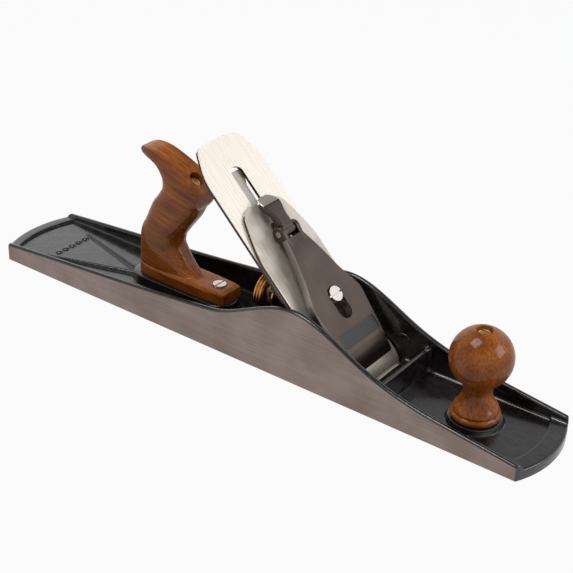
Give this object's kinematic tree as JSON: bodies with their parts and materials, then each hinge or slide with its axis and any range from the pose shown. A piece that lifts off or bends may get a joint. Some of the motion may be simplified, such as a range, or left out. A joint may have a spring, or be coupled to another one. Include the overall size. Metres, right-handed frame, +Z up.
{
  "type": "fore plane",
  "caption": "Metal-bodied bench hand plane with wooden rear handle and front knob, bedded cutting iron, lever cap, and screw depth and lateral adjusters.",
  "frame": {"origin": "centre of the sole, on its underside", "axes": "+X toward the toe, +Y to the left cheek, +Z up"},
  "size_m": [0.457, 0.07, 0.1393],
  "materials": {
    "japanned_iron": "gloss black paint over cast iron, cheeks and sole ground bare",
    "plain_steel": "turned, uncoated",
    "bright_steel": "ground bright",
    "satin_iron": "satin, dull plated",
    "yoke_iron": "as cast",
    "brass": "polished, aged",
    "wood": "gloss lacquer"
  },
  "bodies": {
    "plane": {"body_casting": "japanned_iron", "frog_screws": "plain_steel", "frog_washers": "plain_steel", "tote": "wood", "tote_rod": "plain_steel", "tote_nut": "brass", "tote_toe_screw": "brass", "knob": "wood", "knob_rod": "plain_steel", "knob_nut": "brass"},
    "frog_unit": {"frog": "japanned_iron", "frog_adjusting_plate": "plain_steel", "frog_plate_screw": "plain_steel", "lateral_pivot_rivet": "plain_steel", "yoke_pivot_pin": "plain_steel"},
    "frog_adjuster": {"frog_adjusting_screw": "plain_steel"},
    "depth_stud_unit": {"depth_stud": "plain_steel"},
    "depth_wheel_unit": {"depth_wheel": "brass"},
    "yoke_unit": {"depth_yoke": "yoke_iron"},
    "lateral_unit": {"lateral_lever": "plain_steel", "lateral_disc": "plain_steel"},
    "cap_screw_unit": {"lever_cap_screw": "plain_steel"},
    "iron_unit": {"cutting_iron": "bright_steel", "cap_iron": "bright_steel", "cap_iron_screw": "plain_steel"},
    "lever_cap_unit": {"lever_cap": "satin_iron", "lever_cap_spring": "plain_steel", "spring_rivet": "plain_steel", "cam_pivot_pin": "plain_steel"},
    "cam_unit": {"cam_lever": "satin_iron"}
  },
  "joints": [
    {"name": "frog_slide", "type": "slide", "parent": "plane", "child": "frog_unit", "axis": [1, 0, 0], "range_m": [-0.0015, 0.0008]},
    {"name": "frog_adjuster_turn", "type": "hinge", "parent": "frog_unit", "child": "frog_adjuster", "pos_m": [0.036, 0, 0.0148], "axis": [1, 0, 0], "range_deg": [-545, 292]},
    {"name": "depth_wheel_turn", "type": "hinge", "parent": "frog_unit", "child": "depth_stud_unit", "pos_m": [0.002, 0, 0.0385], "axis": [1, 0, 0], "range_deg": [-600, 238]},
    {"name": "depth_wheel_travel", "type": "slide", "parent": "depth_stud_unit", "child": "depth_wheel_unit", "axis": [1, 0, 0], "range_m": [-0.00071, 0.00178]},
    {"name": "yoke_swing", "type": "hinge", "parent": "frog_unit", "child": "yoke_unit", "pos_m": [0.01857, 0, 0.05233], "axis": [0, 1, 0], "range_deg": [-7.34, 2.92]},
    {"name": "lateral_lever_swing", "type": "hinge", "parent": "frog_unit", "child": "lateral_unit", "pos_m": [0.02168, 0, 0.07099], "axis": [0.7071, 0, 0.7071], "range_deg": [-2, 2]},
    {"name": "iron_skew", "type": "hinge", "parent": "frog_unit", "child": "cap_screw_unit", "pos_m": [0.04968, 0, 0.04667], "axis": [0.7071, 0, 0.7071], "range_deg": [-0.51, 0.51]},
    {"name": "iron_depth", "type": "slide", "parent": "cap_screw_unit", "child": "iron_unit", "axis": [0.7071, 0, -0.7071], "range_m": [-0.00245, 0.00097]},
    {"name": "lever_cap_slide", "type": "slide", "parent": "frog_unit", "child": "lever_cap_unit", "axis": [-0.7071, 0, 0.7071], "range_m": [0, 0.012]},
    {"name": "cam_lever_swing", "type": "hinge", "parent": "lever_cap_unit", "child": "cam_unit", "pos_m": [0.01843, 0, 0.09037], "axis": [0, 1, 0], "range_deg": [0, 100]}
  ],
  "couplings": [
    {"joint": "frog_adjuster_turn", "follows": "frog_slide", "rad_per_m": 6283.2},
    {"joint": "depth_wheel_turn", "follows": "iron_depth", "rad_per_m": 4279.6},
    {"joint": "depth_wheel_travel", "follows": "iron_depth", "ratio": -0.72198},
    {"joint": "yoke_swing", "follows": "iron_depth", "rad_per_m": 52.219},
    {"joint": "iron_skew", "follows": "lateral_lever_swing", "ratio": -0.25424}
  ]
}
